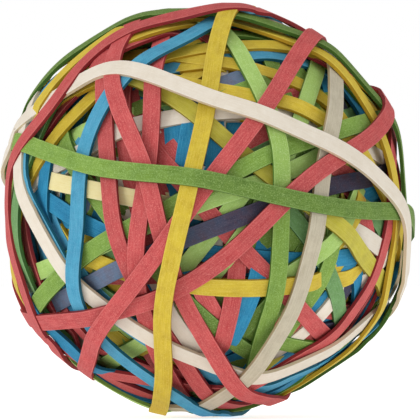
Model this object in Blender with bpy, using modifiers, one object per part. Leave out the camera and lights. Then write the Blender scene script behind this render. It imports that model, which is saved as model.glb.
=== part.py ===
# Rubber band ball: flat rubber bands stretched one over another round a core of earlier windings.
# Metres, +Z up, origin at the centre of the ball. The side seen in the front view faces -Y.
#
# Each band is a taut closed loop. It is laid over everything wound before it: it touches the high
# places below it and runs straight over the hollows between them, so in its own plane its inner
# outline is the convex outline of what it crosses, pushed out by a small gap.

import math

import bpy
import numpy as np
from mathutils import Vector

# Driving sizes, in metres
CORE_RADIUS = 0.0335
BAND_WIDTH = 0.0036
BAND_THICKNESS = 0.00075
SEAT_GAP = 0.0002
EDGE_CLEARANCE = 0.0004

# The ball ends up about this many layers thicker than its core
LAYERS_TO_OUTSIDE = 9.2
BALL_RADIUS = CORE_RADIUS + LAYERS_TO_OUTSIDE * (BAND_THICKNESS + SEAT_GAP)

# How finely a band is cut into straight runs, and how sharply two runs may meet
RUNS_PER_BAND = 28
SHARPEST_TURN = math.radians(24)
CORE_SUBDIVISIONS = 4
CORE_BAND_SIDES = 30

# On the core each earlier winding stands this much higher than the one before it
CORE_BAND_STEP = 0.0001

# A route is a great circle with a sideways sway of a few whole waves round the loop
SWAY_WAVES = 6
SWAY_STIFFNESS = 0.0001
HIDDEN_WEIGHT = 0.12
HIDDEN_FROM = math.radians(25)
FREE_FROM_AT_MOST = math.radians(140)
FAR_SIDE_FROM = 1.02
SLIPS_TRIED = np.radians([-10, -5, 0, 5, 10])
LEANS_TRIED = np.radians([-8, 0, 8])

# Rubber colours (linear RGB) and the roughness of dusty rubber
RUBBER = {
    "red": (0.520, 0.075, 0.080),
    "yellow": (0.620, 0.470, 0.050),
    "green": (0.190, 0.330, 0.075),
    "blue": (0.045, 0.270, 0.440),
    "white": (0.740, 0.670, 0.560),
    "purple": (0.120, 0.120, 0.230),
    "cream": (0.800, 0.690, 0.360),
    "core": (0.060, 0.045, 0.040),
}
RUBBER_ROUGHNESS = 0.75

# Points along the middle of each band in the front view, in percent of the ball's radius, right
# and up from the centre. The earlier windings, of which little shows, are part of the core. The
# others are bands of their own, in winding order, the innermost first, each with its colour.
EARLIER_WINDINGS = [
    [(22, -43), (14, -55)],
    [(14, -28), (7, -57)],
    [(-18, 50), (-15, 10)],
    [(-73, -2), (-70, -18)],
    [(-85, 13), (-72, 3)],
    [(-44, -66), (-17, -77)],
    [(22, 74), (36, 74)],
    [(80, 31), (86, 24)],
]
WINDINGS = [
    ("yellow", [(-43, -62), (-35, -66.5), (-27, -69)]),
    ("cream", [(-72, 11), (-52, 10.5), (-35, 7), (-20, 4)]),
    ("yellow", [(51.6, -45), (47, -51.4), (38.6, -62.4)]),
    ("yellow", [(5, -36.5), (25, -35.5), (69, -32)]),
    ("red", [(20, -24), (31, -38), (42, -53.5), (48, -66)]),
    ("green", [(26, -57), (22, -64), (15, -72)]),
    ("blue", [(-8, -20), (15, -22.7), (65, -23), (85, -15)]),
    ("green", [(58, -32), (61.6, -41.6), (63.2, -61.7)]),
    ("green", [(60, -16.4), (56.8, -27.4), (45, -48)]),
    ("green", [(50, 39), (65, 44), (77, 47)]),
    ("green", [(78, 29), (74.5, 15), (71, 6)]),
    ("blue", [(-77.5, 20), (-78, 12)]),
    ("blue", [(-80, -18), (-78, -38), (-72, -60), (-66, -64)]),
    ("blue", [(-86, 22), (-87.4, -10), (-84, -36.5), (-74, -60), (-64, -74)]),
    ("red", [(-44, 48), (-26, 29), (-17, 18)]),
    ("red", [(-40.4, 33), (-35, 2), (-32, -5)]),
    ("yellow", [(-40, 73.5), (-11, 73), (10, 70), (32, 66), (54, 54)]),
    ("white", [(-51, 34), (-23, 43), (10, 46.5), (52, 42)]),
    ("green", [(53, 71), (46.5, 51), (41, 35)]),
    ("green", [(-60, 14), (-50.5, 1), (-41, -12.5)]),
    ("purple", [(-83, -47), (-50, -32), (-10, -13.5), (20, -2), (60, 11.5), (95, 22)]),
    ("green", [(-94.5, 5), (-92, -16), (-89, -42), (-79, -58), (-73, -66)]),
    ("green", [(-93, -35.5), (-81, -29), (-50, -16.7), (-38, -11)]),
    ("yellow", [(-70, 40.5), (-60, 50), (-52, 58)]),
    ("yellow", [(-68, 53), (-64, 59.5), (-57, 62), (-50, 63)]),
    ("green", [(-67, 61), (-77, 46), (-83.5, 33)]),
    ("yellow", [(-16, 53), (9, 33), (27, 18), (57, -4), (75, -22), (86, -38)]),
    ("green", [(14, 18.5), (22, 23.5), (42, 31)]),
    ("green", [(12, 80), (26, 55), (34.5, 25), (34.7, 0), (31.5, -41.6), (20, -84)]),
    ("blue", [(26.4, -87.6), (45.8, -83), (58.7, -78.5), (70.3, -70)]),
    ("red", [(89, -13), (77.5, -40), (62.6, -60), (46, -69)]),
    ("red", [(-14, -71), (-7, -82.4), (-2, -89)]),
    ("red", [(-17, 91), (-27, 59), (-28.3, 30), (-32.5, 0), (-35, -29)]),
    ("white", [(-91, 26), (-91.5, 7), (-74, -23), (-39.5, -55), (-4, -72), (29, -76), (75, -61)]),
    (
        "white",
        [
            *[(56.5, 84), (61.5, 68), (59, 40), (52.6, -4)],
            *[(46, -30), (38.5, -54), (25.5, -69.5), (5.7, -91.5)],
        ],
    ),
    (
        "yellow",
        [(-34, 88), (0, 94), (35, 83.3), (65, 67), (88.5, 27), (92.3, -16), (77, -62), (42, -87)],
    ),
    (
        "blue",
        [(0, 89.3), (-28, 75), (-48, 54), (-61, 28), (-63.6, -20), (-50, -69), (-30, -86), (0, -97)],
    ),
    (
        "red",
        [(-38, 88), (-46.5, 71), (-39.5, 40), (-26, 0), (-9.4, -50), (2.4, -71), (26, -91.5)],
    ),
    ("green", [(25, 91), (40, 87), (65, 71), (74, 62.5), (84, 52), (90.5, 38), (96, 9)]),
    (
        "red",
        [(87, 52), (87, 45), (56, 21), (20, -12), (-15, -38), (-40, -47.5), (-72, -54.3), (-86, -53)],
    ),
    ("red", [(55, 85), (39, 69), (22, 42), (4, 18.5), (-21, -15.7), (-50, -54), (-59, -80)]),
    ("yellow", [(10, 98), (2.7, 70), (-5, 30), (-14.6, -10), (-20.9, -40), (-25, -99)]),
    ("green", [(-91, 33), (-70, 23), (-30, 17.8), (0, 13.8), (40, 5), (80, -0.9), (99, -0.5)]),
    (
        "white",
        [
            *[(-88, 42), (-80, 54), (-50, 67.5), (-20, 61.8), (20, 48), (60, 30.3)],
            *[(89, 8), (95.5, 0.5), (96.5, -14), (95, -25), (88, -58)],
        ],
    ),
    (
        "red",
        [
            *[(-74.5, -67), (-82, -53), (-90.5, -41), (-95.5, -23), (-98, 0), (-97, 12)],
            *[(-91.5, 29), (-83.5, 41), (-72, 59), (-60, 69.5), (-47.5, 79.5), (-36, 88.5)],
            *[(-20, 95), (0, 97), (16, 97.5), (56, 87), (88, 60), (107, 6)],
            *[(96, -52), (72, -82), (35, -102), (-14, -105), (-54, -90)],
        ],
    ),
]


def clear_scene():
    for item in list(bpy.data.objects):
        bpy.data.objects.remove(item, do_unlink=True)


def rubber_material(colour_name):
    """One matte rubber for each colour, made once."""
    name = f"rubber_{colour_name}"
    material = bpy.data.materials.get(name)
    if material is None:
        material = bpy.data.materials.new(name)
        material.use_nodes = True
        shader = material.node_tree.nodes["Principled BSDF"]
        shader.inputs["Base Color"].default_value = (*RUBBER[colour_name], 1.0)
        shader.inputs["Roughness"].default_value = RUBBER_ROUGHNESS
        shader.inputs["Metallic"].default_value = 0.0
    return material


def front_directions(points, radii):
    """Unit directions from the centre to points read in the front view, each at its own radius.

    A point well outside the ball's edge is one as far inside it on the far side.
    """
    flat = np.array(points, dtype=float) / 100
    reach = np.hypot(flat[:, 0], flat[:, 1])
    behind = reach > FAR_SIDE_FROM
    wanted = np.where(behind, 2 - reach, reach)
    flat = flat * (np.minimum(wanted, 0.998 * radii) / reach)[:, None]
    depth = np.sqrt(radii**2 - (flat**2).sum(axis=1)) * np.where(behind, 1, -1)
    found = np.column_stack([flat[:, 0], depth, flat[:, 1]])
    return found / np.linalg.norm(found, axis=1, keepdims=True)


def waves(angle):
    """Constant, cosine and sine columns for the sway round a loop."""
    columns = [np.ones_like(angle)]
    for wave in range(1, SWAY_WAVES + 1):
        columns += [np.cos(wave * angle), np.sin(wave * angle)]
    return np.stack(columns, axis=-1)


class Band:
    """A closed taut band: its route round the ball and its outline in the plane of the loop."""

    def __init__(self, colour_name, points):
        self.colour_name = colour_name
        self.points = points
        self.slip = 0.0
        self.lean = 0.0

    def fit_route(self, radii):
        """Great circle nearest the read points, with the smoothest sway that follows them."""
        seen = front_directions(self.points, radii)
        weight = np.clip(np.abs(seen[:, 1]), 0.15, 1.0)
        if len(self.points) == 2:
            normal = np.cross(seen[0], seen[1])
            normal /= np.linalg.norm(normal)
        else:
            normal = np.linalg.svd(seen * weight[:, None])[2][-1]
        along = seen.mean(axis=0)
        along -= normal * (along @ normal)
        along /= np.linalg.norm(along)
        self.normal = normal
        self.along = along
        self.across = np.cross(normal, along)
        self.read_angles = np.arctan2(seen @ self.across, seen @ self.along)
        sideways = np.arcsin(seen @ normal)
        last_read = np.abs(self.read_angles).max() + HIDDEN_FROM
        self.free_below = math.cos(min(last_read, FREE_FROM_AT_MOST))

        # Where nothing is read, the band keeps to its great circle
        ring = np.linspace(0, 2 * math.pi, 36, endpoint=False)
        apart = np.abs(np.angle(np.exp(1j * (ring[:, None] - self.read_angles[None, :]))))
        hidden = waves(ring[apart.min(axis=1) > HIDDEN_FROM]) * HIDDEN_WEIGHT
        read = waves(self.read_angles) * weight[:, None]
        wave = np.arange(1, SWAY_WAVES + 1)
        stiffness = np.repeat(SWAY_STIFFNESS * (1 + wave**2) ** 2, 2)
        stiffness = np.diag(np.concatenate([[0.01], stiffness]))
        system = read.T @ read + hidden.T @ hidden + stiffness
        self.sway = np.linalg.solve(system, read.T @ (sideways * weight))

    def sideways_angle(self, angle):
        """Sway, plus the slip and lean of the hidden stretch, as an angle off the great circle."""
        free = np.maximum(0.0, self.free_below - np.cos(angle)) / (1 + self.free_below)
        return waves(angle) @ self.sway + (self.slip + self.lean * np.sin(angle)) * free**2

    def direction(self, angle, on_runs=False):
        """Unit direction from the centre to the middle of the band, on its route or its runs."""
        off = self.run_sideways(angle)[0] if on_runs else self.sideways_angle(angle)
        off = off[..., None]
        in_plane = np.cos(angle)[..., None] * self.along + np.sin(angle)[..., None] * self.across
        return np.cos(off) * in_plane + np.sin(off) * self.normal

    def width_direction(self, angle):
        """Unit vector across the band, square to its route and to the radius."""
        step = 0.001
        forward = self.direction(angle + step) - self.direction(angle - step)
        crosswise = np.cross(self.direction(angle), forward)
        return crosswise / np.linalg.norm(crosswise, axis=-1, keepdims=True)

    def set_outline(self, facing, inner_distance):
        """Straight runs of the loop: the angle each faces and its distance from the centre."""
        self.facing = facing
        self.inner_corners = outline_corners(facing, inner_distance)
        self.distance = inner_distance + BAND_THICKNESS
        corners = outline_corners(facing, self.distance)
        self.corner_angles = np.arctan2(corners[:, 1], corners[:, 0])
        self.corner_radii = np.hypot(corners[:, 0], corners[:, 1])
        run_starts = np.roll(self.corner_angles, 1)
        self.first_start = run_starts[0]
        self.run_order = np.argsort(np.mod(run_starts - self.first_start, 2 * math.pi))
        self.run_starts = np.mod(run_starts - self.first_start, 2 * math.pi)[self.run_order]
        turned = np.mod(self.corner_angles, 2 * math.pi)
        order = np.argsort(turned)
        self.sorted_angles = turned[order]
        self.sorted_sideways = self.sideways_angle(turned[order])
        self.farthest_sideways = np.abs(self.sorted_sideways).max()

    def outer_radius(self, angle):
        """Distance from the centre to the outer face at an angle round the loop."""
        turned = np.mod(angle - self.first_start, 2 * math.pi)
        run = np.searchsorted(self.run_starts, turned, side="right") - 1
        run = self.run_order[np.clip(run, 0, len(self.run_order) - 1)]
        return self.distance[run] / np.cos(angle - self.facing[run])

    def run_sideways(self, angle):
        """Angle off the great circle along the straight runs, and how fast it changes."""
        off = np.interp(angle, self.sorted_angles, self.sorted_sideways, period=2 * math.pi)
        ahead = np.interp(angle + 0.02, self.sorted_angles, self.sorted_sideways, period=2 * math.pi)
        return off, (ahead - off) / 0.02


def outline_corners(facing, distance):
    """Corners where each straight run meets the next."""
    next_facing = np.roll(facing, -1)
    next_distance = np.roll(distance, -1)
    turn = np.sin(next_facing - facing)
    x = (distance * np.sin(next_facing) - next_distance * np.sin(facing)) / turn
    y = (next_distance * np.cos(facing) - distance * np.cos(next_facing)) / turn
    return np.column_stack([x, y])


def convex_outline(x, y):
    """Corners of the convex outline of points, counter-clockwise."""
    points = sorted(zip(x.tolist(), y.tolist()))

    def chain(ordered):
        kept = []
        for point in ordered:
            while len(kept) > 1:
                (ax, ay), (bx, by) = kept[-2], kept[-1]
                if (bx - ax) * (point[1] - ay) - (by - ay) * (point[0] - ax) > 1e-12:
                    break
                kept.pop()
            kept.append(point)
        return kept[:-1]

    return np.array(chain(points) + chain(points[::-1]))


def straight_runs(outline):
    """Few straight runs that enclose a convex outline closely.

    Runs are taken away one at a time, always the one whose neighbours, made longer until they
    meet, add the least area.
    """
    side = np.roll(outline, -1, axis=0) - outline
    facing = np.arctan2(-side[:, 0], side[:, 1])
    distance = np.cos(facing) * outline[:, 0] + np.sin(facing) * outline[:, 1]
    facing = list(facing)
    distance = list(distance)

    def meeting(i, j):
        turn = math.sin(facing[j] - facing[i])
        x = (distance[i] * math.sin(facing[j]) - distance[j] * math.sin(facing[i])) / turn
        y = (distance[j] * math.cos(facing[i]) - distance[i] * math.cos(facing[j])) / turn
        return x, y

    def added_area(k):
        before = (k - 1) % len(facing)
        after = (k + 1) % len(facing)
        if (facing[after] - facing[before]) % (2 * math.pi) > SHARPEST_TURN:
            return math.inf
        ax, ay = meeting(before, k)
        bx, by = meeting(k, after)
        cx, cy = meeting(before, after)
        return abs((bx - ax) * (cy - ay) - (by - ay) * (cx - ax))

    areas = [added_area(k) for k in range(len(facing))]
    while len(facing) > RUNS_PER_BAND:
        k = int(np.argmin(areas))
        if areas[k] == math.inf:
            break
        del facing[k], distance[k], areas[k]
        for near in (k - 2, k - 1, k, k + 1):
            areas[near % len(facing)] = added_area(near % len(facing))
    return np.array(facing), np.array(distance)


class CoreBand:
    """An earlier winding, flat on the core along a great circle."""

    def __init__(self, points, place):
        share = np.full(len(points), CORE_RADIUS / BALL_RADIUS)
        first, last = front_directions(points, share)
        self.normal = np.cross(first, last)
        self.normal /= np.linalg.norm(self.normal)
        self.radius = CORE_RADIUS + BAND_THICKNESS + place * CORE_BAND_STEP


def heights_below(band, core_bands, laid, angles, across, on_runs):
    """Radius of what lies under a band's width at each angle: the core or earlier bands."""
    offsets = np.linspace(-0.5, 0.5, across) * BAND_WIDTH
    middle = band.direction(angles, on_runs)[:, None, :] * band.radius_guess
    spread = band.width_direction(angles)[:, None, :] * offsets[None, :, None]
    looks = middle + spread
    looks /= np.linalg.norm(looks, axis=-1, keepdims=True)
    heights = np.full((len(angles), across), CORE_RADIUS)
    half_width = 0.5 * BAND_WIDTH + EDGE_CLEARANCE
    for other in core_bands:
        under = np.abs(looks @ other.normal) * other.radius <= half_width
        heights[under] = np.maximum(heights[under], other.radius)
    for other in laid:
        sine = looks @ other.normal
        limit = other.farthest_sideways + half_width / CORE_RADIUS
        near = np.abs(sine) < math.sin(min(limit, 0.5 * math.pi))
        view = looks[near]
        angle = np.arctan2(view @ other.across, view @ other.along)
        off, slope = other.run_sideways(angle)
        radius = other.outer_radius(angle)
        aside = np.abs(np.arcsin(sine[near]) - off) * radius / np.sqrt(1 + slope**2)
        heights[near] = np.where(aside <= half_width, np.maximum(heights[near], radius), heights[near])
    highest = heights.max(axis=1)
    return np.maximum(highest, np.maximum(np.roll(highest, 1), np.roll(highest, -1)))


def lay_over(band, core_bands, laid, steps, across, on_runs=False):
    """Stretch a band over what is already wound."""
    angles = np.linspace(0, 2 * math.pi, steps, endpoint=False)
    heights = heights_below(band, core_bands, laid, angles, across, on_runs)
    outline = convex_outline(heights * np.cos(angles), heights * np.sin(angles))
    facing, distance = straight_runs(outline)
    band.set_outline(facing, distance + SEAT_GAP)
    band.radius_guess = band.distance.mean()


def wind_band(band, core_bands, laid, share):
    """Fit the route to the points at the band's own radius, let its hidden side slip, and lay it."""
    band.radius_guess = CORE_RADIUS + (BALL_RADIUS - CORE_RADIUS) * (1 - (1 - share) ** 1.5)
    radii = np.full(len(band.points), band.radius_guess / BALL_RADIUS)
    band.fit_route(radii)
    lay_over(band, core_bands, laid, 240, 3)
    band.fit_route(band.outer_radius(band.read_angles) / BALL_RADIUS)

    # A taut band slips to where it lies lowest
    lowest = math.inf
    for slip in SLIPS_TRIED:
        for lean in LEANS_TRIED:
            band.slip, band.lean = slip, lean
            lay_over(band, core_bands, laid, 180, 5)
            height = band.distance.mean() + band.corner_radii.max()
            if height < lowest:
                lowest = height
                kept = (slip, lean)
    band.slip, band.lean = kept
    band.fit_route(band.outer_radius(band.read_angles) / BALL_RADIUS)
    lay_over(band, core_bands, laid, 720, 7)
    lay_over(band, core_bands, laid, 720, 7, on_runs=True)


def band_object(band, number, collection):
    """The band as a ribbon on its inner outline, thickened outward."""
    angles = np.arctan2(band.inner_corners[:, 1], band.inner_corners[:, 0])
    radii = np.hypot(band.inner_corners[:, 0], band.inner_corners[:, 1])
    middle = band.direction(angles) * radii[:, None]
    half = band.width_direction(angles) * 0.5 * BAND_WIDTH
    corners = np.stack([middle - half, middle + half], axis=1).reshape(-1, 3)
    count = len(angles)
    faces = []
    for run in range(count):
        after = (run + 1) % count
        faces.append((2 * run, 2 * after, 2 * after + 1, 2 * run + 1))
    name = f"band_{number:02d}_{band.colour_name}"
    mesh = bpy.data.meshes.new(name)
    mesh.from_pydata(corners.tolist(), [], faces)
    mesh.materials.append(rubber_material(band.colour_name))
    ribbon = bpy.data.objects.new(name, mesh)
    collection.objects.link(ribbon)
    thicken = ribbon.modifiers.new("Thickness", "SOLIDIFY")
    thicken.thickness = BAND_THICKNESS
    thicken.offset = 1.0
    thicken.use_even_offset = True
    return ribbon


def core_object(core_bands, collection, cutters):
    """The earlier windings as one lump: a ball with the last of them standing proud of it."""
    bpy.ops.mesh.primitive_ico_sphere_add(subdivisions=CORE_SUBDIVISIONS, radius=CORE_RADIUS)
    core = bpy.context.active_object
    core.name = "core"
    core.data.name = "core"
    core.data.materials.append(rubber_material("core"))
    core.data.shade_smooth()
    for owner in list(core.users_collection):
        owner.objects.unlink(core)
    collection.objects.link(core)
    for place, core_band in enumerate(core_bands, start=1):
        bpy.ops.mesh.primitive_cylinder_add(
            vertices=CORE_BAND_SIDES, radius=core_band.radius, depth=BAND_WIDTH
        )
        disc = bpy.context.active_object
        disc.name = f"core_band_{place:02d}"
        disc.rotation_mode = "QUATERNION"
        disc.rotation_quaternion = Vector(core_band.normal).to_track_quat("Z", "Y")
        disc.display_type = "WIRE"
        disc.hide_render = True
        for owner in list(disc.users_collection):
            owner.objects.unlink(disc)
        cutters.objects.link(disc)
        union = core.modifiers.new(disc.name, "BOOLEAN")
        union.operation = "UNION"
        union.object = disc
    return core


def build_ball():
    clear_scene()
    collection = bpy.data.collections.new("rubber_band_ball")
    bpy.context.scene.collection.children.link(collection)
    cutters = bpy.data.collections.new("cutters")
    bpy.context.scene.collection.children.link(cutters)
    core_bands = [CoreBand(points, place) for place, points in enumerate(EARLIER_WINDINGS)]
    core_object(core_bands, collection, cutters)
    laid = []
    for number, (colour_name, points) in enumerate(WINDINGS, start=1):
        band = Band(colour_name, points)
        wind_band(band, core_bands, laid, number / len(WINDINGS))
        laid.append(band)
        band_object(band, number, collection)


build_ball()
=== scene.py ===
import math

import bpy
import numpy as np
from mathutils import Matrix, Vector


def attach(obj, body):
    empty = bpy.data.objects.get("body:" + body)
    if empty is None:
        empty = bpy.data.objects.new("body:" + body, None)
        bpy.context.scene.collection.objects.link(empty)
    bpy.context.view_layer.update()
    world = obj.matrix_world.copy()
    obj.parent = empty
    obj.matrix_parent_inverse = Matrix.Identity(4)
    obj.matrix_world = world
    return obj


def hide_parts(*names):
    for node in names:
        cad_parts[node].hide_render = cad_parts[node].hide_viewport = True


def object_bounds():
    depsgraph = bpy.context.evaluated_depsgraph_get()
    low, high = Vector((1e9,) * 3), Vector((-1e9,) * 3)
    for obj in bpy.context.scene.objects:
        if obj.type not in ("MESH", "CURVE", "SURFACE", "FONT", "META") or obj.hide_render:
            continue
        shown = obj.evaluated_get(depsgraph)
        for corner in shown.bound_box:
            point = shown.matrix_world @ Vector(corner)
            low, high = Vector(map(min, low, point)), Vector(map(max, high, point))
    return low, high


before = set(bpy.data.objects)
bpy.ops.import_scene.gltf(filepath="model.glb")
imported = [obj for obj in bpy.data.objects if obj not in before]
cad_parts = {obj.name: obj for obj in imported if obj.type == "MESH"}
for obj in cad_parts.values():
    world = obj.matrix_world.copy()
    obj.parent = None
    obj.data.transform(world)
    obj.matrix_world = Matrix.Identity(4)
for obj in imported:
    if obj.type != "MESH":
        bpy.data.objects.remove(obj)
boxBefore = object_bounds()
solidBox = np.array([[*corner] for corner in boxBefore])

# Metres: width and thickness of a band, bevel along its cut edges, rise of its middle, the gap
# under it, and how much lower than the other one edge may lie
rubber = {"width": 0.0036, "thickness": 0.00078, "cutEdge": 0.00009, "crown": 0.00003,
          "gap": 0.00003, "tilt": 0.0016}

# Metres: radius of the ball in the photograph and of its dark depth, and the radii up to which
# the early bands and the last band lie; then the cells along one side of the height map
ball = {"seenRadius": 0.0423, "darkRadius": 0.0316, "earlyRadius": 0.0364, "lastRadius": 0.0421,
        "cells": 288}

# Height of the wound surface in each direction, over the six sides of a cube
heightMap = np.full(6 * ball["cells"] ** 2, ball["darkRadius"])


def cellOf(rays):
    # The longest axis picks the side of the cube; the angles off it pick the cell
    axis = np.abs(rays).argmax(axis=-1)[..., None]
    longest = np.take_along_axis(rays, axis, -1)
    others = np.concatenate([(axis + 1) % 3, (axis + 2) % 3], axis=-1)
    slope = np.take_along_axis(rays, others, -1) / np.abs(longest)
    cell = ((np.arctan(slope) / (0.5 * math.pi) + 0.5) * ball["cells"]).astype(int)
    cell = np.clip(cell, 0, ball["cells"] - 1)
    side = (2 * axis + (longest < 0))[..., 0]
    return (side * ball["cells"] + cell[..., 0]) * ball["cells"] + cell[..., 1]


def unit(vectors):
    # Each vector divided by its length
    return vectors / np.linalg.norm(vectors, axis=-1, keepdims=True)


def waves(angle, count):
    # One, then cosine and sine of each whole number of waves round the loop
    columns = [np.ones_like(angle)]
    for wave in range(1, count + 1):
        columns += [np.cos(wave * angle), np.sin(wave * angle)]
    return np.stack(columns, axis=-1)


# Reading a solid: waves of its sway, how stiffly the higher ones are held, decimals of a metre
# that tell two corners apart, and the turn in radians that tells two stations apart
reading = {"waves": 8, "stiffness": 1e-5, "decimals": 6, "newStation": 0.025}


def routeOfNode(node):
    # Plane that the solid's corners lie nearest to, the sideways angle off it as a sum of waves,
    # and the mean turn and mean radius of the corners at each station round the loop
    flat = np.empty(3 * len(node.data.vertices))
    node.data.vertices.foreach_get("co", flat)
    corners = np.unique(np.round(flat.reshape(-1, 3), reading["decimals"]), axis=0)
    rays = unit(corners)
    basis = np.linalg.svd(rays)[2]
    along, across, normal = basis[0], np.cross(basis[2], basis[0]), basis[2]
    angle = np.arctan2(rays @ across, rays @ along)
    columns = waves(angle, reading["waves"])
    stiffness = reading["stiffness"] * np.repeat(np.arange(reading["waves"] + 1) ** 4, 2)[1:]
    off = np.arcsin(rays @ normal)
    sway = np.linalg.solve(columns.T @ columns + np.diag(stiffness), columns.T @ off)
    order = np.argsort(angle)
    isNew = np.diff(angle[order]) > reading["newStation"]
    begins = np.concatenate([[0], np.where(isNew)[0] + 1])
    count = np.diff(np.append(begins, len(order)))
    turns = np.add.reduceat(angle[order], begins) / count
    radii = np.add.reduceat(np.linalg.norm(corners, axis=1)[order], begins) / count
    return {"along": along, "across": across, "normal": normal, "sway": sway,
            "turns": turns, "radii": radii}


def radiusOf(route, angle):
    # On a straight run the inverse radius is a sum of sines of the turns to its two ends
    whole = 2 * math.pi
    turns, radii = route["turns"], route["radii"]
    turns = np.concatenate([turns[-1:] - whole, turns, turns[:1] + whole])
    radii = np.concatenate([radii[-1:], radii, radii[:1]])
    angle = (angle + math.pi) % whole - math.pi
    run = np.clip(np.searchsorted(turns, angle, side="right") - 1, 0, len(turns) - 2)
    back, ahead = angle - turns[run], turns[run + 1] - angle
    inverse = (np.sin(ahead) / radii[run] + np.sin(back) / radii[run + 1]) / np.sin(back + ahead)
    return 1 / inverse


# Bands that show for a stretch only: how near the edge of the ball their points may lie, radians
# that they stay up beyond the points and radians over which they then sink, and metres they sink
stretch = {"edge": 0.998, "beyond": 0.06, "sinkOver": 0.16, "sink": 0.0022}


def routeThrough(first, last, share):
    # Great circle through two points read in the front view, in percent of the ball's radius,
    # both laid at this share of the radius
    rays = []
    for x, z in (first, last):
        flat = np.array([x, z]) / 100
        flat = flat * min(1.0, stretch["edge"] * share / np.hypot(*flat))
        rays.append([flat[0], -math.sqrt(share**2 - flat @ flat), flat[1]])
    rays = unit(np.array(rays))
    normal = unit(np.cross(rays[0], rays[1]))
    along = unit(rays[0] + rays[1])
    shown = math.acos(min(1.0, rays[0] @ along)) + stretch["beyond"]
    return {"along": along, "across": np.cross(normal, along), "normal": normal,
            "sway": np.zeros(3), "radius": share * ball["seenRadius"], "shown": shown}


# Early bands: how many, routes tried for each, stations of a try and of the band, how much its
# highest place counts against a try, sideways sway in radians and the radius of their sharpest
# bend in metres
early = {"count": 50, "tries": 8, "tryStations": 120, "stations": 240, "peak": 0.3, "sway": 0.03,
         "bend": 0.016,
         "colours": ["red", "green", "blue", "yellow", "red", "green", "blue", "purple", "red",
                     "blue", "white"]}


def routeByChance(chance):
    # Great circle with an even chance of every tilt, and a slight sway
    normal = unit(chance.normal(size=3))
    along = unit(np.cross(normal, unit(chance.normal(size=3))))
    sways = early["sway"] * chance.normal(size=6) / np.repeat([1, 2, 3], 2)
    return {"along": along, "across": np.cross(normal, along), "normal": normal,
            "sway": np.concatenate([[0.0], sways])}


def directions(route, angle):
    # Turn round the loop's plane, then lift off it by the sway
    off = (waves(angle, len(route["sway"]) // 2) @ route["sway"])[:, None]
    inPlane = np.cos(angle)[:, None] * route["along"] + np.sin(angle)[:, None] * route["across"]
    return np.cos(off) * inPlane + np.sin(off) * route["normal"]


# Laying a band: spots across it that feel what is below, how many of them count for each edge,
# how far out they lie in widths and at what radius in metres, how far a probe reaches in shares
# of the loop, stations its height is evened over, the share of a pile's height that is kept,
# and the metres kept free inside the box of the solids
laying = {"spots": 9, "edgeSpots": 6, "spread": 0.53, "radius": 0.039, "probe": 0.1, "even": 2,
          "squeeze": 0.6, "room": 0.0008}


def rolledOver(heights, bend, radius):
    # Lowest curve over all heights that bends inward no sharper than the radius `bend`:
    # a round probe rolled along the top, once down onto the heights and once back
    count = heights.shape[-1]
    reach = int(count * laying["probe"])
    shift = np.arange(-reach, reach + 1)
    drop = radius**2 / bend * (1 / np.cos(shift * 2 * math.pi / count) - 1)
    index = (np.arange(count)[:, None] + shift[None, :]) % count
    top = (heights[:, index] - drop).max(axis=-1)
    return (top[:, index] + drop).min(axis=-1)


def smoothed(values, spread):
    # Mean of near stations weighted by a bell curve
    count = values.shape[-1]
    shift = np.arange(-3 * spread, 3 * spread + 1)
    weight = np.exp(-0.5 * (shift / spread) ** 2)
    index = (np.arange(count)[:, None] + shift[None, :]) % count
    return (values[..., index] * weight).sum(axis=-1) / weight.sum()


def edgeHeights(middle, bend, limit, least=0.0, room=laying["room"]):
    # Both edges of the band follow the highest thing under their side of it. Above the limit, where
    # many bands cross, the rubber is squeezed: only part of the height there counts. Nothing sinks
    # under the least height, and the outer face keeps its room inside the box of the solids.
    forward = unit(np.roll(middle, -1, axis=0) - np.roll(middle, 1, axis=0))
    crosswise = unit(np.cross(middle, forward))
    spots = np.linspace(-laying["spread"], laying["spread"], laying["spots"]) * rubber["width"]
    rays = unit(middle[:, None] * laying["radius"] + crosswise[:, None] * spots[None, :, None])
    under = heightMap[cellOf(rays)]
    edges = np.stack([under[:, :laying["edgeSpots"]].max(axis=1),
                      under[:, -laying["edgeSpots"]:].max(axis=1)])
    edges = np.maximum(edges, np.maximum(np.roll(edges, 1, axis=1), np.roll(edges, -1, axis=1)))
    edges = np.where(edges > limit, limit + laying["squeeze"] * (edges - limit), edges)
    edges = smoothed(rolledOver(edges, bend, edges.mean()), laying["even"]) + rubber["gap"]
    ends = np.stack([rays[:, 0], rays[:, -1]])
    nearNought = 1e-6
    most = np.where(ends > 0, solidBox[1] / np.maximum(ends, nearNought),
                    solidBox[0] / np.minimum(ends, -nearNought))
    edges = np.minimum(np.maximum(edges, least), most.min(axis=-1) - rubber["thickness"] - room)
    return np.maximum(edges, edges[::-1] - rubber["tilt"]), forward, crosswise


# Turning towards the viewer: least square of the depth, how much a place has to face the viewer
# before it starts, over how much more it grows, and the rounds it takes
facing = {"leastDepth": 0.02, "begins": 0.2, "growsOver": 0.3, "rounds": 3}


def asSeen(middle, solid, edges):
    # Where the band faces the viewer, it is turned so that at its own height it still appears
    # where the solid does; towards the edge of the ball and behind it, it keeps its direction
    reach = edges.mean(axis=0) + 0.5 * rubber["thickness"]
    x, z = solid[:, 0] / reach, solid[:, 2] / reach
    depth = -np.sqrt(np.maximum(facing["leastDepth"], 1 - x**2 - z**2))
    towards = -solid[:, 1] / np.linalg.norm(solid, axis=1)
    share = np.clip((towards - facing["begins"]) / facing["growsOver"], 0, 1)[:, None]
    return unit(middle * (1 - share) + np.stack([x, depth, z], axis=1) * share)


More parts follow.
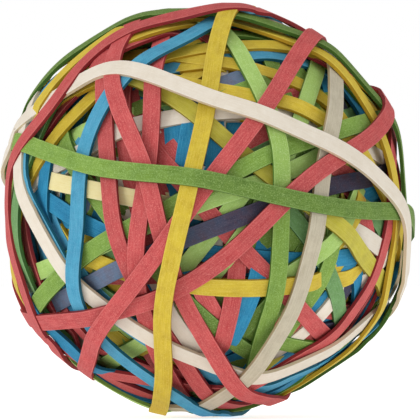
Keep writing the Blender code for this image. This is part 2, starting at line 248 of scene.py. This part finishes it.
# Outer bands: stations, stations that the solid's radius is evened over, metres under the solid's
# inner face and metres of room to the box; the radius of the sharpest bend grows by bendMore
# until bendUntil of all the bands are on, and goldenShare spreads their tones evenly
outer = {"stations": 480, "even": 5, "inside": 0.0001, "room": 0.0004, "bend": 0.02,
         "bendMore": 0.0225, "bendUntil": 0.7, "goldenShare": 0.618}

# Writing a face into the height map: stations round the loop, spots across, and half widths out
writing = {"stations": 1440, "spots": 21, "spread": 1.04}


def layBand(route, bend, stations, limit):
    # Sets the band on its edge heights, then writes its outer face into the height map
    angle = np.linspace(0, 2 * math.pi, stations, endpoint=False)
    middle = directions(route, angle)
    radius, held = None, {}
    if "turns" in route:
        # Inner face of the solid, all the way round, with the highest piles pressed down
        radius = smoothed(radiusOf(route, angle), outer["even"])
        limit = np.minimum(radius - 0.5 * rubber["thickness"] - outer["inside"], ball["lastRadius"])
        held = {"least": limit, "room": outer["room"]}
    elif "radius" in route:
        radius = np.full(stations, route["radius"])
    edges, forward, crosswise = edgeHeights(middle, bend, limit, **held)
    if radius is not None:
        solid = middle * radius[:, None]
        for _ in range(facing["rounds"]):
            middle = asSeen(middle, solid, edges)
            edges, forward, crosswise = edgeHeights(middle, bend, limit, **held)
    if "shown" in route:
        # Past the stretch that shows, the band sinks in among the others
        turned = np.minimum(angle, 2 * math.pi - angle)
        past = np.clip((turned - route["shown"]) / stretch["sinkOver"], 0, 1)
        edges = edges - stretch["sink"] * past**2 * (3 - 2 * past)
    half = 0.5 * rubber["width"]
    left = middle * edges[0][:, None] - crosswise * half
    right = middle * edges[1][:, None] + crosswise * half
    base = 0.5 * (left + right)
    chord = unit(right - left)
    up = unit(np.cross(forward, chord))
    up *= np.sign((up * middle).sum(axis=1))[:, None]

    fine = writing["stations"] // stations
    between = np.arange(stations * fine) / fine
    spots = np.linspace(-writing["spread"], writing["spread"], writing["spots"]) * half
    stops = np.arange(stations + 1)
    onLine = {}
    for part, values in (("base", base + up * rubber["thickness"]), ("chord", chord)):
        closed = np.concatenate([values, values[:1]])
        onLine[part] = np.stack([np.interp(between, stops, closed[:, k]) for k in range(3)], axis=1)
    face = onLine["base"][:, None] + onLine["chord"][:, None] * spots[None, :, None]
    reach = np.linalg.norm(face, axis=-1)
    np.maximum.at(heightMap, cellOf(face / reach[..., None]).ravel(), reach.ravel())
    length = np.linalg.norm(np.roll(base, -1, axis=0) - base, axis=1)
    return {"base": base, "chord": chord, "up": up, "length": length}


def lowestRoute(chance, limit):
    # Of several routes by chance, the one where a band would lie lowest
    best, lowest = None, math.inf
    angle = np.linspace(0, 2 * math.pi, early["tryStations"], endpoint=False)
    for _ in range(early["tries"]):
        route = routeByChance(chance)
        edges = edgeHeights(directions(route, angle), early["bend"], limit)[0]
        height = edges.mean() + early["peak"] * edges.max()
        if height < lowest:
            best, lowest = route, height
    return best


def section(full):
    # Cut of the band, round from the lower left: across, up. The full one rises in three steps
    # to its middle, four fifths of the crown half way out, the other in one.
    half, thick, cut = 0.5 * rubber["width"], rubber["thickness"], rubber["cutEdge"]
    face = [(0, thick + rubber["crown"])]
    if full:
        shoulder = thick + 0.8 * rubber["crown"]
        face = [(0.5 * half, shoulder), *face, (-0.5 * half, shoulder)]
    return np.array([(-half, 0), (half, 0), (half, thick - cut), (half - cut, thick), *face,
                     (cut - half, thick), (-half, thick - cut)])


def bandMesh(laid, full, chanceValue):
    # Sweep of the cut along the loop; one face between each two stations and two corners of the
    # cut. `place` is along and across the band, or up its cut side, in millimetres; `part` is
    # whether the face is a cut side, and the chance value of the loop.
    toMillimetres, sameAcross = 1000, 1e-6
    cut = section(full)
    stations, corners = len(laid["base"]), len(cut)
    points = (laid["base"][:, None] + laid["chord"][:, None] * cut[None, :, 0, None]
              + laid["up"][:, None] * cut[None, :, 1, None]).reshape(-1, 3)
    s = np.repeat(np.arange(stations), corners)
    c = np.tile(np.arange(corners), stations)
    nextS, nextC = (s + 1) % stations, (c + 1) % corners
    faces = np.stack([s * corners + c, s * corners + nextC,
                      nextS * corners + nextC, nextS * corners + c], axis=1)
    begins = np.concatenate([[0], np.cumsum(laid["length"])]) * toMillimetres
    u = np.stack([begins[s], begins[s], begins[s + 1], begins[s + 1]], axis=1)
    ofFace = cut[np.stack([c, nextC, nextC, c], axis=1)] * toMillimetres
    isSide = (np.abs(cut[c, 0] - cut[nextC, 0]) < sameAcross).astype(float)
    v = np.where(isSide[:, None] > 0, ofFace[..., 1], ofFace[..., 0])
    place = np.stack([u, v], axis=-1).reshape(-1, 2)
    part = np.stack([np.repeat(isSide, 4), np.full(4 * len(s), chanceValue)], axis=1)
    return {"points": points, "faces": faces, "place": place, "part": part, "corners": corners,
            "soft": [4, 5, 6] if full else [4]}


def bandObject(name, meshes, material):
    # All loops of one piece in one mesh, with sharp lines where the cut has corners
    offset = 0
    faces, sharp = [], []
    for one in meshes:
        faces.append(one["faces"] + offset)
        corner = np.arange(len(one["points"])) % one["corners"]
        sharp.append(np.where(np.isin(corner, one["soft"]), -1, corner))
        offset += len(one["points"])
    points = np.concatenate([one["points"] for one in meshes])
    faces = np.concatenate(faces)
    sharp = np.concatenate(sharp)
    mesh = bpy.data.meshes.new(name)
    mesh.from_pydata(points, [], faces)
    mesh.polygons.foreach_set("use_smooth", np.ones(len(faces), dtype=bool))
    ends = np.empty(2 * len(mesh.edges), dtype=np.int32)
    mesh.edges.foreach_get("vertices", ends)
    a, b = sharp[ends.reshape(-1, 2)].T
    mesh.edges.foreach_set("use_edge_sharp", (a == b) & (a >= 0))
    for layer, key in (("bandMap", "place"), ("bandPart", "part")):
        values = np.concatenate([one[key] for one in meshes]).astype(np.float32)
        mesh.uv_layers.new(name=layer).uv.foreach_set("vector", values.ravel())
    mesh.materials.append(material)
    mesh.update()
    piece = bpy.data.objects.new(name, mesh)
    bpy.context.scene.collection.objects.link(piece)
    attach(piece, "root")
    return piece


def newGroup(name, inputs, outputs):
    # Node group with its sockets
    group = bpy.data.node_groups.new(name, "ShaderNodeTree")
    for socketName, kind, value in inputs:
        socket = group.interface.new_socket(name=socketName, in_out="INPUT", socket_type=kind)
        socket.default_value = value
    for socketName, kind in outputs:
        group.interface.new_socket(name=socketName, in_out="OUTPUT", socket_type=kind)
    return group, group.nodes.new("NodeGroupInput"), group.nodes.new("NodeGroupOutput")


def addNode(tree, kind, links=(), **settings):
    # Node with its settings; each link is (input, value or socket)
    node = tree.nodes.new(kind)
    for key, value in settings.items():
        setattr(node, key, value)
    for key, value in links:
        if isinstance(value, bpy.types.NodeSocket):
            tree.links.new(value, node.inputs[key])
        else:
            node.inputs[key].default_value = value
    return node


def mathNode(tree, operation, a, b=0.0, c=0.0):
    # One operation on up to three values
    return addNode(tree, "ShaderNodeMath", [(0, a), (1, b), (2, c)], operation=operation).outputs[0]


def mapRange(tree, value, source=(0.0, 1.0), target=(0.0, 1.0), **settings):
    # Source range stretched onto the target range and held inside it
    return addNode(
        tree, "ShaderNodeMapRange",
        [("Value", value), ("From Min", source[0]), ("From Max", source[1]),
         ("To Min", target[0]), ("To Max", target[1])],
        **settings,
    ).outputs[0]


def mixColour(tree, factor, a, b):
    # The first colour where the factor is nought, the second where it is one. Sockets 0, 6 and 7
    # are the factor and the two colours, and output 2 is the mixed colour.
    links = [(0, factor), (6, a), (7, b)]
    return addNode(tree, "ShaderNodeMix", links, data_type="RGBA").outputs[2]


def noise(tree, vector, scale, detail, roughness):
    # Grey noise between nought and one
    return addNode(
        tree, "ShaderNodeTexNoise",
        [("Vector", vector), ("Scale", scale), ("Detail", detail), ("Roughness", roughness)],
    ).outputs["Fac"]


# Grain: streak size in millimetres along and across the band, the shift of the streaks from loop
# to loop, scales of the noises over metres, millimetres off the middle where the painted highlight
# along the edges begins and is full, and how much streaks and fine noise count in the height
grainSizes = {"streakLength": 5.0, "streakWidth": 0.22, "loopShift": 777.0, "clouds": 420.0,
              "specks": 4200.0, "fine": 2600.0, "edge": (1.5, 1.75), "streakHeight": 0.6,
              "fineHeight": 0.4}


def grainGroup():
    # Masks of a rubber face: streaks along the band, specks of dust, cloudy patches, a painted
    # highlight along the edges
    masks = ("Streaks", "Specks", "Clouds", "EdgeHighlight", "Side", "Chance", "Height")
    group, given, out = newGroup(
        "rubberGrain",
        [("Streak Length", "NodeSocketFloat", grainSizes["streakLength"]),
         ("Streak Width", "NodeSocketFloat", grainSizes["streakWidth"])],
        [(mask, "NodeSocketFloat") for mask in masks],
    )
    place = addNode(group, "ShaderNodeUVMap", uv_map="bandMap").outputs["UV"]
    part = addNode(group, "ShaderNodeUVMap", uv_map="bandPart").outputs["UV"]
    along, across, _ = addNode(group, "ShaderNodeSeparateXYZ", [(0, place)]).outputs
    side, chanceValue, _ = addNode(group, "ShaderNodeSeparateXYZ", [(0, part)]).outputs
    shifted = mathNode(group, "MULTIPLY_ADD", chanceValue, grainSizes["loopShift"], along)
    alongScaled = mathNode(group, "DIVIDE", shifted, given.outputs["Streak Length"])
    acrossScaled = mathNode(group, "DIVIDE", across, given.outputs["Streak Width"])
    scaled = [(0, alongScaled), (1, acrossScaled)]
    streakPlace = addNode(group, "ShaderNodeCombineXYZ", scaled).outputs[0]
    streaks = noise(group, streakPlace, 1.0, 3.0, 0.6)
    objectPlace = addNode(group, "ShaderNodeTexCoord").outputs["Object"]
    clouds = noise(group, objectPlace, grainSizes["clouds"], 3.0, 0.6)
    specks = noise(group, objectPlace, grainSizes["specks"], 2.0, 0.6)
    fine = noise(group, objectPlace, grainSizes["fine"], 3.0, 0.7)
    # Painted highlight: the top face turns pale towards both of its edges, but not on the cut sides
    farOut = mathNode(group, "ABSOLUTE", across)
    edge = mapRange(group, farOut, grainSizes["edge"], interpolation_type="SMOOTHSTEP")
    edge = mathNode(group, "MULTIPLY", edge, mathNode(group, "SUBTRACT", 1.0, side))
    fineHeight = mathNode(group, "MULTIPLY", fine, grainSizes["fineHeight"])
    height = mathNode(group, "MULTIPLY_ADD", streaks, grainSizes["streakHeight"], fineHeight)
    for mask, value in zip(masks, (streaks, specks, clouds, edge, side, chanceValue, height)):
        group.links.new(value, out.inputs[mask])
    return group


# Rubber: ranges of the masks that are stretched to the full range, how much pale the painted
# highlight along the edges takes and how much of the side's colour, painted shade, a cut side
# takes, ranges of tone and roughness, the bump's strength and its depth in metres, shine, and half
# the metres over which one look meets another
finish = {"streaks": (0.3, 0.7), "clouds": (0.3, 0.7), "specks": (0.52, 0.68), "edge": 0.35,
          "side": 0.85, "tone": (0.94, 1.05), "rough": (0.58, 0.74), "bump": 0.5,
          "bumpDepth": 0.00004, "shine": 0.18, "meet": 0.012}


def rubberMaterial(name, look, grain, second=None):
    # One colour, or a second one where x (axis 0) or z (axis 2) is greater than middle
    material = bpy.data.materials.new(name)
    material.use_nodes = True
    tree = material.node_tree
    shader = tree.nodes["Principled BSDF"]
    masks = tree.nodes.new("ShaderNodeGroup")
    masks.node_tree = grain
    streaks = mapRange(tree, masks.outputs["Streaks"], finish["streaks"])
    clouds = mapRange(tree, masks.outputs["Clouds"], finish["clouds"])
    specks = mapRange(tree, masks.outputs["Specks"], finish["specks"])
    tint = {key: (*look[key], 1) for key in ("light", "dark", "pale", "side")}
    if second:
        place = addNode(tree, "ShaderNodeTexCoord").outputs["Object"]
        value = addNode(tree, "ShaderNodeSeparateXYZ", [(0, place)]).outputs[second["axis"]]
        meeting = (second["middle"] - finish["meet"], second["middle"] + finish["meet"])
        beyond = mapRange(tree, value, meeting)
        tint = {key: mixColour(tree, beyond, tint[key], (*second["look"][key], 1)) for key in tint}
    colour = mixColour(tree, clouds, tint["dark"], tint["light"])
    # Pale streaks and specks belong to the rubber; the pale edge is a painted highlight, and the
    # side colour on cut faces is painted shade
    for mask, share, over in (
        (streaks, look["streak"], "pale"), (specks, look["speck"], "pale"),
        (masks.outputs["EdgeHighlight"], finish["edge"], "pale"),
        (masks.outputs["Side"], finish["side"], "side"),
    ):
        colour = mixColour(tree, mathNode(tree, "MULTIPLY", mask, share), colour, tint[over])
    tone = mapRange(tree, masks.outputs["Chance"], target=finish["tone"])
    toned = addNode(tree, "ShaderNodeHueSaturation", [("Color", colour), ("Value", tone)])
    rough = mapRange(tree, masks.outputs["Clouds"], target=finish["rough"])
    bump = addNode(
        tree, "ShaderNodeBump",
        [("Strength", finish["bump"]), ("Distance", finish["bumpDepth"]),
         ("Height", masks.outputs["Height"])],
    )
    tree.links.new(toned.outputs[0], shader.inputs["Base Color"])
    tree.links.new(rough, shader.inputs["Roughness"])
    tree.links.new(bump.outputs[0], shader.inputs["Normal"])
    shader.inputs["Specular IOR Level"].default_value = finish["shine"]
    return material


# Each look: its colour in the lighter and darker patches, where it is pale (streaks, specks and the
# painted edge highlight), and on the cut sides, where it is darker as painted shade, then how much
# of the pale colour streaks and specks take
rubberLooks = {
    "red": {
        "light": (0.55, 0.062, 0.066), "dark": (0.41, 0.032, 0.038),
        "pale": (0.72, 0.22, 0.20), "side": (0.23, 0.013, 0.018),
        "streak": 0.45, "speck": 0.65,
    },
    "yellow": {
        "light": (0.66, 0.48, 0.024), "dark": (0.51, 0.335, 0.013),
        "pale": (0.79, 0.65, 0.13), "side": (0.42, 0.24, 0.01),
        "streak": 0.5, "speck": 0.45,
    },
    "green": {
        "light": (0.188, 0.32, 0.040), "dark": (0.125, 0.24, 0.025),
        "pale": (0.36, 0.53, 0.17), "side": (0.055, 0.14, 0.012),
        "streak": 0.35, "speck": 0.75,
    },
    "lightGreen": {
        "light": (0.41, 0.62, 0.14), "dark": (0.32, 0.53, 0.10),
        "pale": (0.58, 0.76, 0.34), "side": (0.09, 0.20, 0.02),
        "streak": 0.35, "speck": 0.6,
    },
    "darkGreen": {
        "light": (0.11, 0.20, 0.021), "dark": (0.065, 0.135, 0.012),
        "pale": (0.29, 0.43, 0.14), "side": (0.035, 0.10, 0.01),
        "streak": 0.3, "speck": 0.8,
    },
    "blueGreen": {
        "light": (0.15, 0.33, 0.10), "dark": (0.10, 0.24, 0.065),
        "pale": (0.29, 0.47, 0.24), "side": (0.03, 0.10, 0.015),
        "streak": 0.35, "speck": 0.6,
    },
    "limeYellow": {
        "light": (0.57, 0.51, 0.04), "dark": (0.43, 0.37, 0.025),
        "pale": (0.68, 0.62, 0.16), "side": (0.27, 0.20, 0.01),
        "streak": 0.5, "speck": 0.3,
    },
    "blue": {
        "light": (0.05, 0.34, 0.52), "dark": (0.024, 0.23, 0.40),
        "pale": (0.18, 0.48, 0.66), "side": (0.002, 0.085, 0.13),
        "streak": 0.5, "speck": 0.45,
    },
    "deepBlue": {
        "light": (0.012, 0.23, 0.43), "dark": (0.004, 0.14, 0.30),
        "pale": (0.08, 0.38, 0.58), "side": (0.002, 0.06, 0.11),
        "streak": 0.5, "speck": 0.4,
    },
    "white": {
        "light": (0.80, 0.72, 0.60), "dark": (0.72, 0.63, 0.50),
        "pale": (0.87, 0.82, 0.74), "side": (0.62, 0.49, 0.32),
        "streak": 0.4, "speck": 0.3,
    },
    "warmWhite": {
        "light": (0.57, 0.51, 0.37), "dark": (0.46, 0.40, 0.28),
        "pale": (0.74, 0.68, 0.55), "side": (0.42, 0.31, 0.17),
        "streak": 0.5, "speck": 0.3,
    },
    "purple": {
        "light": (0.022, 0.040, 0.082), "dark": (0.062, 0.028, 0.044),
        "pale": (0.12, 0.11, 0.16), "side": (0.012, 0.010, 0.03),
        "streak": 0.3, "speck": 0.5,
    },
    "slate": {
        "light": (0.11, 0.19, 0.30), "dark": (0.13, 0.12, 0.17),
        "pale": (0.21, 0.26, 0.37), "side": (0.02, 0.04, 0.10),
        "streak": 0.35, "speck": 0.5,
    },
    "cream": {
        "light": (0.84, 0.74, 0.36), "dark": (0.78, 0.66, 0.28),
        "pale": (0.88, 0.81, 0.52), "side": (0.60, 0.42, 0.12),
        "streak": 0.4, "speck": 0.3,
    },
}

# Looks that change along a band: the first, the other, the axis, and the metres where they meet
changingLooks = {
    "greenToDark": ("green", "darkGreen", 0, -0.010),
    "slateToPurple": ("slate", "purple", 0, -0.008),
    "greenToLight": ("green", "lightGreen", 2, 0.010),
}
grain = grainGroup()
materials = {
    name: rubberMaterial("rubber_" + name, look, grain) for name, look in rubberLooks.items()
}
for changing, (here, there, axis, middle) in changingLooks.items():
    materials[changing] = rubberMaterial(
        "rubber_" + changing, rubberLooks[here], grain,
        {"look": rubberLooks[there], "axis": axis, "middle": middle})
print("materials", len(materials))

# Outer bands, by their place in the order, whose look isn't the one of their colour
ownLook = {
    3: "limeYellow", 7: "deepBlue", 8: "blueGreen", 10: "blueGreen", 11: "lightGreen",
    19: "lightGreen", 21: "slateToPurple", 23: "lightGreen", 26: "blueGreen", 27: "limeYellow",
    29: "greenToLight", 35: "warmWhite", 39: "darkGreen", 43: "greenToDark",
}

# Bands that show in short lengths only, each with the two ends of one such length in percent of
# the ball's radius, right and up; they go on just before the outer band of that place
seenBelow = {
    1: [
        ("blue", (-17.5, 50), (-15, 12)), ("blue", (-9, 40), (-11, 28)),
        ("blue", (3, 33), (3, 22)), ("red", (22, 31), (29, 37)), ("blue", (-39, 58), (-30, 52)),
        ("green", (-39, 45.5), (-28, 50)), ("red", (24, -56), (12, -61)),
        ("red", (2, -40), (1, -54)), ("blue", (22, -40), (13, -58)),
        ("darkGreen", (50, 29), (39, 8)), ("blue", (36, -15), (50, -18)),
        ("blue", (82, 12), (74, 6)), ("red", (34, 52), (46, 55)),
        ("blue", (-66, -42), (-61, -48)), ("purple", (50, -58), (60, -56)),
        ("blue", (71, -37), (68, -58)), ("blueGreen", (-54, -37), (-43, -45)),
        ("white", (-50, -21), (-42, -24)), ("slate", (5, 59), (19, 64)),
        ("green", (8, 53), (23, 59)), ("yellow", (-13, 60), (-2, 67)),
        ("yellow", (-13, 77), (-2, 81)), ("green", (-8, 75), (1, 78)),
        ("red", (-3, 83), (2, 80)), ("blue", (44, 71), (50, 66)), ("red", (14, -1), (4, 4)),
        ("darkGreen", (2, 8), (14, 6)),
    ],
    4: [
        ("white", (57, -46), (36, -65.5)), ("blue", (20, 74), (39, 73)),
        ("yellow", (-21, 66), (-5, 69)), ("red", (-65, 59), (-54, 53)),
        ("blue", (-70, 43), (-60, 54)), ("red", (-44, -69), (-26, -77)),
        ("red", (-20, -76), (-9, -80)), ("yellow", (-20, -82), (-7, -82.5)),
        ("red", (-20, -86), (-8, -86)), ("lightGreen", (-17, -90.5), (4, -82)),
        ("lightGreen", (8, -95), (26, -81)), ("white", (26, -84.5), (41, -83)),
        ("red", (26, -82), (46, -77)), ("green", (33, -83.5), (53, -76.5)),
        ("green", (-53, 24), (-41, 30)), ("darkGreen", (39, 0), (48, -17)),
        ("green", (22, -17), (29, -13)),
    ],
    9: [
        ("blue", (-6, -66), (1, -81)), ("lightGreen", (-45, 43), (-70, 31)),
        ("green", (-73, 49), (-65, 27)), ("blue", (86, -3), (86, -14)),
        ("blueGreen", (79, -4), (84, -14)), ("red", (73, -1), (77, -17)),
        ("white", (71, -11), (80, -17)), ("yellow", (70, -2), (65, -10)),
        ("white", (84, -21), (80, -28)), ("red", (49, -68), (56, -77)),
    ],
    12: [
        ("yellow", (-75, -4), (-64, -22)),
    ],
    15: [
        ("blue", (-86, 14), (-54, -9)), ("blue", (83, -39), (75, -57)),
        ("red", (79, -44), (69, -60)), ("blue", (89, -20), (86, -36)),
        ("blue", (-73, -29), (-68, -43)), ("white", (-68, -56), (-59, -66)),
        ("red", (-64, -55), (-57, -63)), ("blue", (-71, -56), (-62, -67)),
        ("lightGreen", (-66, -67), (-59, -72)), ("white", (-54, -71), (-43, -80)),
        ("red", (-46, -80), (-30, -90)), ("green", (-41, 74), (-27, 84)),
        ("darkGreen", (-55, 71), (-45, 80)), ("yellow", (80, 33), (87, 19)),
        ("blue", (65, 60), (72, 49)), ("blue", (20, 95), (43, 88.5)),
        ("green", (-13, 98), (4, 97)), ("yellow", (-57, -23), (-45, -28)),
        ("lightGreen", (13, 4), (-13, -29)),
    ],
    21: [
        ("blue", (-77.5, 21), (-79, 6)), ("red", (91, 34), (89, 23)),
        ("red", (95, 21), (96, 4)), ("blue", (-76, -57), (-64, -75)),
        ("blue", (-5.5, -41), (-1, -51)), ("cream", (-70, 12.5), (-34, 5)),
        ("white", (-15.5, -54), (-9, -63)), ("darkGreen", (26, -47.5), (12, -60)),
        ("red", (-1, -43), (3, -50)), ("darkGreen", (-7, -47), (18, -67)),
        ("blue", (20, -41), (13, -57)), ("red", (11.5, -41), (7.5, -58.7)),
        ("yellow", (-3, -36.4), (44, -35.5)),
    ],
    22: [
        ("white", (4, 46.3), (21, 46.8)),
    ],
    30: [
        ("red", (-56, -74.5), (-31, -89)), ("blue", (-56, -79), (-27, -94.5)),
        ("lightGreen", (-90, 43), (-93, 30)), ("blue", (-94, 33), (-98, 21)),
        ("yellow", (-98, 19), (-99, 4)), ("blue", (-98.5, 0), (-96, -33)),
    ],
    36: [
        ("lightGreen", (-60, -80), (-28, -96)), ("green", (0, -99.5), (40, -92)),
        ("red", (-49, 73), (-28, 83)), ("yellow", (-36, 82), (-17, 88)),
    ],
    40: [
        ("blue", (-78, -54), (-61, -72)),
    ],
    45: [
        ("yellow", (-77, 55.5), (-50, 81)),
    ],
}
chance = np.random.default_rng(11)
earlyBands = {}


def addEarly(colour, route, limit):
    # Lays one band and keeps its mesh with the others of its colour
    laid = layBand(route, early["bend"], early["stations"], limit)
    earlyBands.setdefault(colour, []).append(bandMesh(laid, False, chance.random()))


def windEarly():
    # Bands by chance, their limit rising evenly from the dark depth to the early radius
    rise = ball["earlyRadius"] - ball["darkRadius"]
    for number in range(early["count"]):
        limit = ball["darkRadius"] + rise * (number + 1) / early["count"]
        colour = early["colours"][number % len(early["colours"])]
        addEarly(colour, lowestRoute(chance, limit), limit)


def windOuter():
    # Outer bands in the order of their nodes, their limit rising evenly to the last radius, each
    # after the short lengths that show below it
    names = sorted(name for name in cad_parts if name.startswith("band_"))
    for place, name in enumerate(names):
        route = routeOfNode(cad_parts[name])
        share = place / (len(names) - 1)
        limit = ball["earlyRadius"] + (ball["lastRadius"] - ball["earlyRadius"]) * share
        for colour, first, last in seenBelow.get(place + 1, []):
            addEarly(colour, routeThrough(first, last, limit / ball["seenRadius"]), limit)
        bend = outer["bend"] + outer["bendMore"] * min(1.0, share / outer["bendUntil"]) ** 2
        laid = layBand(route, bend, outer["stations"], limit)
        colour = name.split("_")[2]
        material = materials[ownLook.get(place + 1, colour)]
        mesh = bandMesh(laid, True, outer["goldenShare"] * place % 1)
        piece = bandObject(f"loop{place + 1:02d}_{colour}", [mesh], material)
        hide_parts(name)


windEarly()
print("early bands wound, mean height", heightMap.mean())
windOuter()
print("outer bands wound, mean height", heightMap.mean(), "greatest", heightMap.max())

for colour, meshes in earlyBands.items():
    material = materials["deepBlue" if colour == "blue" else colour]
    piece = bandObject("earlyLoops_" + colour, meshes, material)
print("early bands made", len(earlyBands))

# The unlit depth, painted shade: a near-black sphere under the bands; subdivisions of its sphere,
# and its look
depth = {
    "subdivisions": 5,
    "look": {"light": (0.05, 0.03, 0.03), "dark": (0.02, 0.012, 0.012), "pale": (0.08, 0.05, 0.05),
             "side": (0.02, 0.01, 0.01), "streak": 0.4, "speck": 0.3},
}


def shadeBall():
    # A near-black ball with the rubber grain under all the bands: painted shade in the depths
    # between them
    bpy.ops.mesh.primitive_ico_sphere_add(
        subdivisions=depth["subdivisions"], radius=ball["darkRadius"])
    piece = bpy.context.active_object
    piece.name = "depth"
    piece.data.shade_smooth()
    piece.data.materials.append(rubberMaterial("core", depth["look"], grain))
    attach(piece, "root")
    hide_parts("core")


shadeBall()
print("pieces made")

# Glow of the floor and of the backdrop, for light and for the camera; metres to the floor's sides
scenery = {"floorGlow": (0.42, 0.72), "worldGlow": (0.46, 1.0), "floorWhite": 0.9,
           "floorRough": 0.9, "sideways": 3, "near": -1.2, "far": 3}


def cameraGlow(tree, glow, strength):
    # The first strength for light, the second where the camera looks straight at it
    path = tree.nodes.new("ShaderNodeLightPath")
    tree.links.new(mapRange(tree, path.outputs["Is Camera Ray"], target=glow), strength)


def layFloor():
    # White sheet at the lowest place of the solids
    material = bpy.data.materials.new("floor")
    material.use_nodes = True
    shader = material.node_tree.nodes["Principled BSDF"]
    shader.inputs["Base Color"].default_value = (*[scenery["floorWhite"]] * 3, 1)
    shader.inputs["Roughness"].default_value = scenery["floorRough"]
    shader.inputs["Emission Color"].default_value = (1, 1, 1, 1)
    cameraGlow(material.node_tree, scenery["floorGlow"], shader.inputs["Emission Strength"])
    lowest, wide, near, far = boxBefore[0][2], *[scenery[k] for k in ("sideways", "near", "far")]
    mesh = bpy.data.meshes.new("floor")
    mesh.from_pydata(
        [(-wide, near, lowest), (wide, near, lowest), (wide, far, lowest), (-wide, far, lowest)],
        [], [(0, 1, 2, 3)])
    mesh.materials.append(material)
    floor = bpy.data.objects.new("floor", mesh)
    bpy.context.scene.collection.objects.link(floor)


def areaLight(name, place, size, power):
    # Round light of this size in metres and power in watts, turned to the ball
    light = bpy.data.lights.new(name, "AREA")
    light.shape = "DISK"
    light.size = size
    light.energy = power
    holder = bpy.data.objects.new(name, light)
    holder.location = place
    holder.rotation_euler = (-Vector(place)).to_track_quat("-Z", "Y").to_euler()
    bpy.context.scene.collection.objects.link(holder)


def whiteWorld():
    # White backdrop
    world = bpy.data.worlds.new("backdrop")
    world.use_nodes = True
    bpy.context.scene.world = world
    background = world.node_tree.nodes["Background"]
    background.inputs["Color"].default_value = (1, 1, 1, 1)
    cameraGlow(world.node_tree, scenery["worldGlow"], background.inputs["Strength"])


# Camera: metres away, chip in millimetres, pixels of the picture and of the ball's radius in it,
# and pixels that the ball's middle lies to the left of the picture's and above it
photo = {"away": 1.8, "chip": 36, "pixels": 420, "ballPixels": 207, "left": 1, "above": 0.5,
         "clipEnd": 20}


def setCamera():
    # Focal length so that one pixel covers the ball's radius over its pixels
    camera = bpy.data.objects.new("camera", bpy.data.cameras.new("camera"))
    pixel = ball["seenRadius"] / photo["ballPixels"]
    camera.data.sensor_width = photo["chip"]
    camera.data.lens = photo["chip"] * photo["away"] / (photo["pixels"] * pixel)
    camera.data.clip_end = photo["clipEnd"]
    camera.location = (photo["left"] * pixel, -photo["away"], -photo["above"] * pixel)
    camera.rotation_euler = (math.pi / 2, 0, 0)
    bpy.context.scene.collection.objects.link(camera)
    bpy.context.scene.camera = camera
    bpy.context.scene.view_settings.view_transform = "Standard"


layFloor()
areaLight("leftLight", (-1.2, -0.75, 0.55), 0.8, 8.0)
areaLight("rightLight", (1.25, -0.6, 0.3), 0.8, 4.0)
areaLight("topLight", (-0.1, -0.3, 1.3), 0.8, 3.0)
whiteWorld()
setCamera()
print("stage set")
